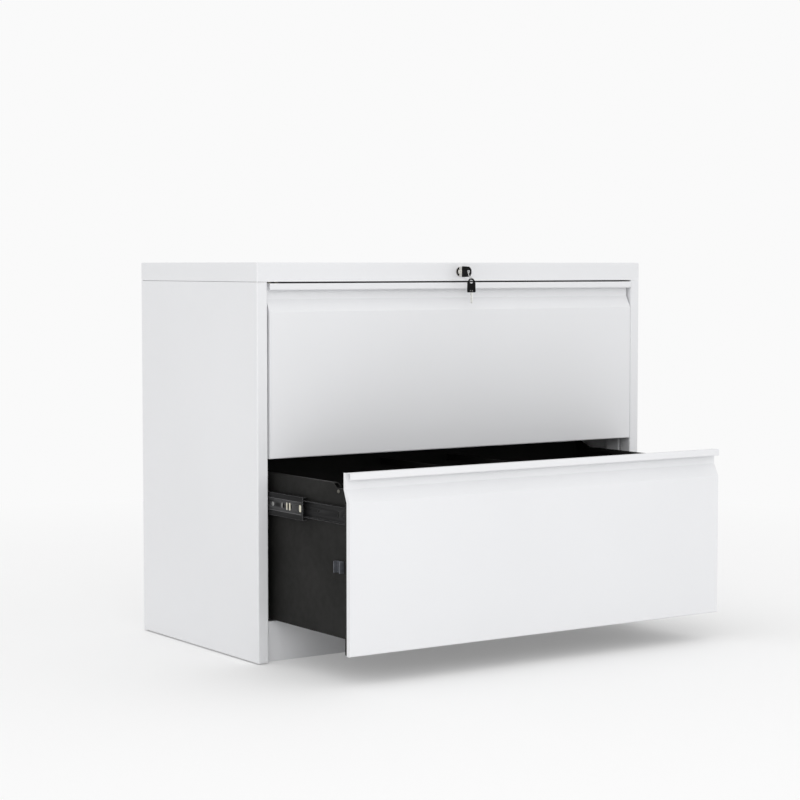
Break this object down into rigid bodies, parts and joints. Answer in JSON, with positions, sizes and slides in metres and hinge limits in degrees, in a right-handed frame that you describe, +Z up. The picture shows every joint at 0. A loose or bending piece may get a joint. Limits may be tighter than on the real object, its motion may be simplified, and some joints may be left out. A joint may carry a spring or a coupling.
{
  "type": "lateral filing cabinet",
  "caption": "Wide low steel filing cabinet with full-width drawers on telescopic slides, finger-pull fronts and a central key lock in the top cover's skirt.",
  "frame": {"origin": "on the floor, under the middle of the carcass footprint", "axes": "+X to the right seen from the front, +Y to the back, +Z up"},
  "size_m": [0.9, 0.719, 0.73],
  "materials": {
    "white_powder_coat": "fine matte powder coat",
    "black_powder_coat": "satin powder coat",
    "black_slide_steel": "satin black coating",
    "bare_steel": "plain drawn steel",
    "zinc_plate": "zinc plated",
    "blued_catch_steel": "blued, rubbed edges",
    "dull_rivet_zinc": "dulled zinc plate",
    "lock_chrome": "polished",
    "black_key_plastic": "moulded, satin"
  },
  "bodies": {
    "cabinet": {"top_cover": "white_powder_coat", "left_side_panel": "white_powder_coat", "right_side_panel": "white_powder_coat", "back_panel": "white_powder_coat", "plinth_frame": "white_powder_coat", "base_pan": "white_powder_coat", "lock_rail": "black_powder_coat", "front_upright_left": "white_powder_coat", "front_upright_right": "white_powder_coat", "rear_upright_left": "white_powder_coat", "rear_upright_right": "white_powder_coat", "upper_slide_outer_left": "black_slide_steel", "upper_slide_outer_right": "black_slide_steel", "lower_slide_outer_left": "black_slide_steel", "lower_slide_outer_right": "black_slide_steel", "lock_housing": "lock_chrome", "lock_nut": "zinc_plate", "key_ring": "bare_steel"},
    "upper_drawer": {"upper_front": "white_powder_coat", "upper_front_liner": "black_powder_coat", "upper_left_side": "black_powder_coat", "upper_right_side": "black_powder_coat", "upper_back": "black_powder_coat", "upper_bottom": "black_powder_coat", "upper_hang_rails": "black_powder_coat", "upper_rivets": "dull_rivet_zinc", "upper_lock_catch": "blued_catch_steel", "upper_slide_inner_left": "black_slide_steel", "upper_slide_inner_right": "black_slide_steel"},
    "upper_slide_middle": {"upper_slide_middle_left": "black_slide_steel", "upper_slide_middle_right": "black_slide_steel"},
    "upper_outer_cages": {"upper_outer_cages": "bare_steel"},
    "upper_inner_cages": {"upper_inner_cages": "bare_steel"},
    "lower_drawer": {"lower_front": "white_powder_coat", "lower_front_liner": "black_powder_coat", "lower_left_side": "black_powder_coat", "lower_right_side": "black_powder_coat", "lower_back": "black_powder_coat", "lower_bottom": "black_powder_coat", "lower_hang_rails": "black_powder_coat", "lower_rivets": "dull_rivet_zinc", "lower_lock_catch": "blued_catch_steel", "lower_slide_inner_left": "black_slide_steel", "lower_slide_inner_right": "black_slide_steel"},
    "lower_slide_middle": {"lower_slide_middle_left": "black_slide_steel", "lower_slide_middle_right": "black_slide_steel"},
    "lower_outer_cages": {"lower_outer_cages": "bare_steel"},
    "lower_inner_cages": {"lower_inner_cages": "bare_steel"},
    "lock": {"lock_plug": "lock_chrome", "lock_cam": "zinc_plate", "key_blade": "bare_steel", "key_bow": "black_key_plastic"},
    "lock_link": {"lock_link": "zinc_plate"},
    "lock_bar": {"lock_bar": "zinc_plate"}
  },
  "joints": [
    {"name": "upper_drawer_slide", "type": "slide", "parent": "cabinet", "child": "upper_drawer", "axis": [0, -1, 0], "range_m": [0, 0.38]},
    {"name": "upper_slide_middle_run", "type": "slide", "parent": "cabinet", "child": "upper_slide_middle", "axis": [0, -1, 0], "range_m": [0, 0.19]},
    {"name": "upper_outer_cages_run", "type": "slide", "parent": "cabinet", "child": "upper_outer_cages", "axis": [0, -1, 0], "range_m": [0, 0.095]},
    {"name": "upper_inner_cages_run", "type": "slide", "parent": "cabinet", "child": "upper_inner_cages", "axis": [0, -1, 0], "range_m": [0, 0.285]},
    {"name": "lower_drawer_slide", "type": "slide", "parent": "cabinet", "child": "lower_drawer", "axis": [0, -1, 0], "range_m": [-0.265, 0.115]},
    {"name": "lower_slide_middle_run", "type": "slide", "parent": "cabinet", "child": "lower_slide_middle", "axis": [0, -1, 0], "range_m": [-0.1325, 0.0575]},
    {"name": "lower_outer_cages_run", "type": "slide", "parent": "cabinet", "child": "lower_outer_cages", "axis": [0, -1, 0], "range_m": [-0.06625, 0.02875]},
    {"name": "lower_inner_cages_run", "type": "slide", "parent": "cabinet", "child": "lower_inner_cages", "axis": [0, -1, 0], "range_m": [-0.19875, 0.08625]},
    {"name": "lock_bar_slide", "type": "slide", "parent": "cabinet", "child": "lock_bar", "axis": [0, 0, -1], "range_m": [0, 0.01]},
    {"name": "lock_link_slide", "type": "slide", "parent": "cabinet", "child": "lock_link", "axis": [-1, 0, 0], "range_m": [0, 0.0184]},
    {"name": "lock_turn", "type": "hinge", "parent": "cabinet", "child": "lock", "pos_m": [0, -0.225, 0.7125], "axis": [0, 1, 0], "range_deg": [0, 90]}
  ],
  "couplings": [
    {"joint": "upper_slide_middle_run", "follows": "upper_drawer_slide", "ratio": 0.5},
    {"joint": "upper_outer_cages_run", "follows": "upper_drawer_slide", "ratio": 0.25},
    {"joint": "upper_inner_cages_run", "follows": "upper_drawer_slide", "ratio": 0.75},
    {"joint": "lower_slide_middle_run", "follows": "lower_drawer_slide", "ratio": 0.5},
    {"joint": "lower_outer_cages_run", "follows": "lower_drawer_slide", "ratio": 0.25},
    {"joint": "lower_inner_cages_run", "follows": "lower_drawer_slide", "ratio": 0.75},
    {"joint": "lock_link_slide", "follows": "lock_bar_slide", "ratio": 1.8385},
    {"joint": "lock_turn", "follows": "lock_bar_slide", "rad_per_m": 157.08}
  ]
}
